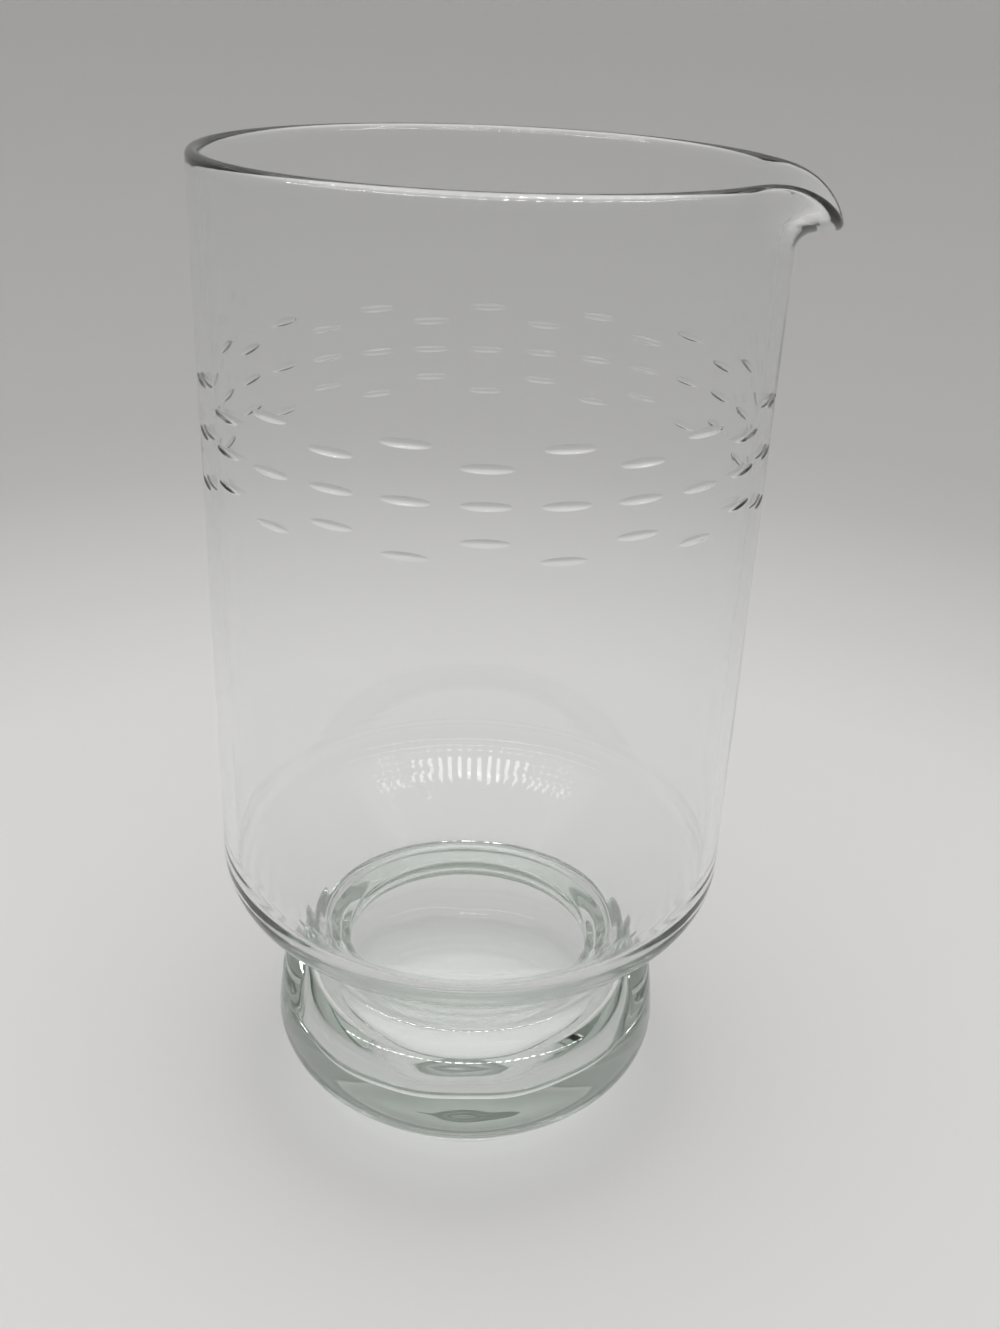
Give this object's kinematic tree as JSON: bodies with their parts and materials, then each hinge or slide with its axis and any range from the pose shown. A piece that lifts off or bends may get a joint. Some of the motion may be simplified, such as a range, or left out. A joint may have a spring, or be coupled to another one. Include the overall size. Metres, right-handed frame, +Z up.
{
  "type": "cocktail pitcher",
  "caption": "Clear glass cocktail pitcher: straight wheel-cut bowl with a drawn pouring lip, nipped waist and hollow bulb foot with a thick base, for stirring and pouring mixed drinks.",
  "frame": {"origin": "middle of the resting ring, on the plane that the pitcher stands on", "axes": "+Z up along the bowl's axis, +X towards the pouring lip, +Y to the left of the lip"},
  "size_m": [0.1082, 0.101, 0.19],
  "materials": {
    "glass": "clear fire-polished soda-lime glass",
    "base_glass": "clear soda-lime glass, grey-green in its thick base"
  },
  "bodies": {
    "root": {"base_slab": "base_glass", "foot_bulb": "glass", "waist_ring": "glass", "bowl_heel": "glass", "bowl_wall": "glass", "rim_band": "glass", "pouring_lip": "glass"}
  },
  "joints": []
}
